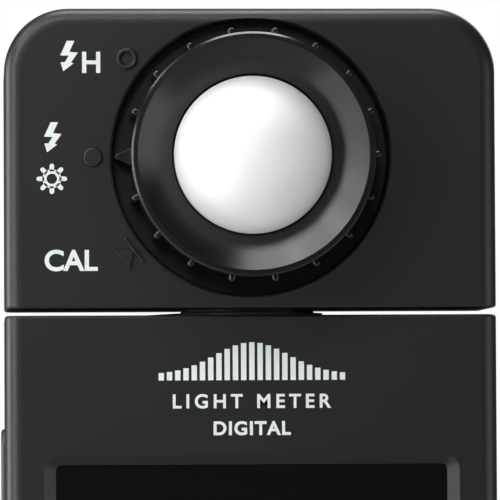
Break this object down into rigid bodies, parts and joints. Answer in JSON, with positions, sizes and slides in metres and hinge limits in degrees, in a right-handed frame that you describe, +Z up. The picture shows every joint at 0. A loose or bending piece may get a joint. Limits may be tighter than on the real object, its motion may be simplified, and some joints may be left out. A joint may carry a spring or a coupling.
{
  "type": "handheld light meter",
  "caption": "Hand-held light meter with a large display, a head that turns on a neck, and a white receptor dome inside a ribbed selector ring.",
  "frame": {"origin": "mouth of the tripod socket, in the middle of the base", "axes": "+Z up from the base to the head, the front with the display and the dome faces -Y, +X to the right seen from the front"},
  "size_m": [0.0742, 0.0412, 0.183],
  "materials": {
    "shell_plastic": "fine spark-eroded black moulding",
    "ring_plastic": "satin black moulding",
    "key_plastic": "satin black moulding",
    "neck_plastic": "dull black moulding",
    "dome_diffuser": "white translucent diffuser, satin",
    "display_glass": "polished cover glass",
    "display_panel": "dark display panel, switched off",
    "gasket_rubber": "matt black elastomer",
    "circuit_board": "green solder resist",
    "chip_plastic": "moulded component body",
    "cell_wrap": "printed cell sleeve, plain",
    "plated_steel": "nickel plated",
    "black_screw": "black zinc plated",
    "brass": "turned",
    "cable_film": "amber film",
    "filter_glass": "polished",
    "optic_mirror": "coated",
    "legend_ink": "white printed legends"
  },
  "bodies": {
    "body": {"body_front_shell": "shell_plastic", "body_rear_shell": "shell_plastic", "display_glass": "display_glass", "display_gasket": "gasket_rubber", "lcd_module": "display_panel", "main_board": "circuit_board", "board_chips": "chip_plastic", "key_switches": "chip_plastic", "measure_switch": "chip_plastic", "power_switch": "chip_plastic", "buzzer": "chip_plastic", "battery_cells": "cell_wrap", "battery_contacts": "plated_steel", "battery_springs": "plated_steel", "usb_socket": "plated_steel", "sync_socket": "plated_steel", "tripod_bush": "brass", "strap_bar": "plated_steel", "body_screws": "black_screw", "neck_bush": "neck_plastic"},
    "head": {"head_front_shell": "shell_plastic", "head_rear_shell": "shell_plastic", "head_screws": "black_screw", "swivel_shaft": "neck_plastic", "swivel_washer": "plated_steel", "swivel_clip": "plated_steel", "neck_cable": "cable_film", "receptor_hub": "neck_plastic", "hub_screws": "plated_steel", "dome": "dome_diffuser", "dome_clip": "plated_steel", "detent_ball": "plated_steel", "detent_spring": "plated_steel", "light_guide": "filter_glass", "optical_bench": "neck_plastic", "bench_lid": "neck_plastic", "fold_mirror": "optic_mirror", "grating": "optic_mirror", "sensor_board": "circuit_board", "line_sensor": "chip_plastic"},
    "ring": {"selector_ring": "ring_plastic", "ring_retainer": "plated_steel", "filter_disc": "neck_plastic", "nd_filter": "filter_glass"},
    "measure_key": {"measure_button": "key_plastic"},
    "power_key": {"power_button": "key_plastic"},
    "memory_key": {"memory_button": "key_plastic"},
    "menu_key": {"menu_button": "key_plastic"},
    "battery_door": {"battery_cover": "shell_plastic"},
    "usb_flap": {"usb_cover": "gasket_rubber"},
    "sync_plug": {"sync_cap": "key_plastic"}
  },
  "joints": [
    {"name": "head_swivel", "type": "hinge", "parent": "body", "child": "head", "pos_m": [0, 0, 0.1379], "axis": [0, 0, 1], "range_deg": [-90, 180]},
    {"name": "ring_turn", "type": "hinge", "parent": "head", "child": "ring", "pos_m": [0, -0.0135, 0.1608], "axis": [0, -1, 0], "range_deg": [-38, 38]},
    {"name": "measure_press", "type": "slide", "parent": "body", "child": "measure_key", "axis": [1, 0, 0], "range_m": [0, 0.0007], "stiffness_N_per_m": 900, "springref_m": -0.001},
    {"name": "power_press", "type": "slide", "parent": "body", "child": "power_key", "axis": [-1, 0, 0], "range_m": [0, 0.0004], "stiffness_N_per_m": 900, "springref_m": -0.001},
    {"name": "memory_press", "type": "slide", "parent": "body", "child": "memory_key", "axis": [0, 1, 0], "range_m": [0, 0.0005], "stiffness_N_per_m": 900, "springref_m": -0.001},
    {"name": "menu_press", "type": "slide", "parent": "body", "child": "menu_key", "axis": [0, 1, 0], "range_m": [0, 0.0005], "stiffness_N_per_m": 900, "springref_m": -0.001},
    {"name": "battery_cover_slide", "type": "slide", "parent": "body", "child": "battery_door", "axis": [0, 0, -1], "range_m": [0, 0.06]},
    {"name": "usb_flap_hinge", "type": "hinge", "parent": "body", "child": "usb_flap", "pos_m": [0.03565, 0, 0.02825], "axis": [0, 1, 0], "range_deg": [0, 95]},
    {"name": "sync_cap_pull", "type": "slide", "parent": "body", "child": "sync_plug", "axis": [-1, 0, 0], "range_m": [0, 0.008]}
  ]
}
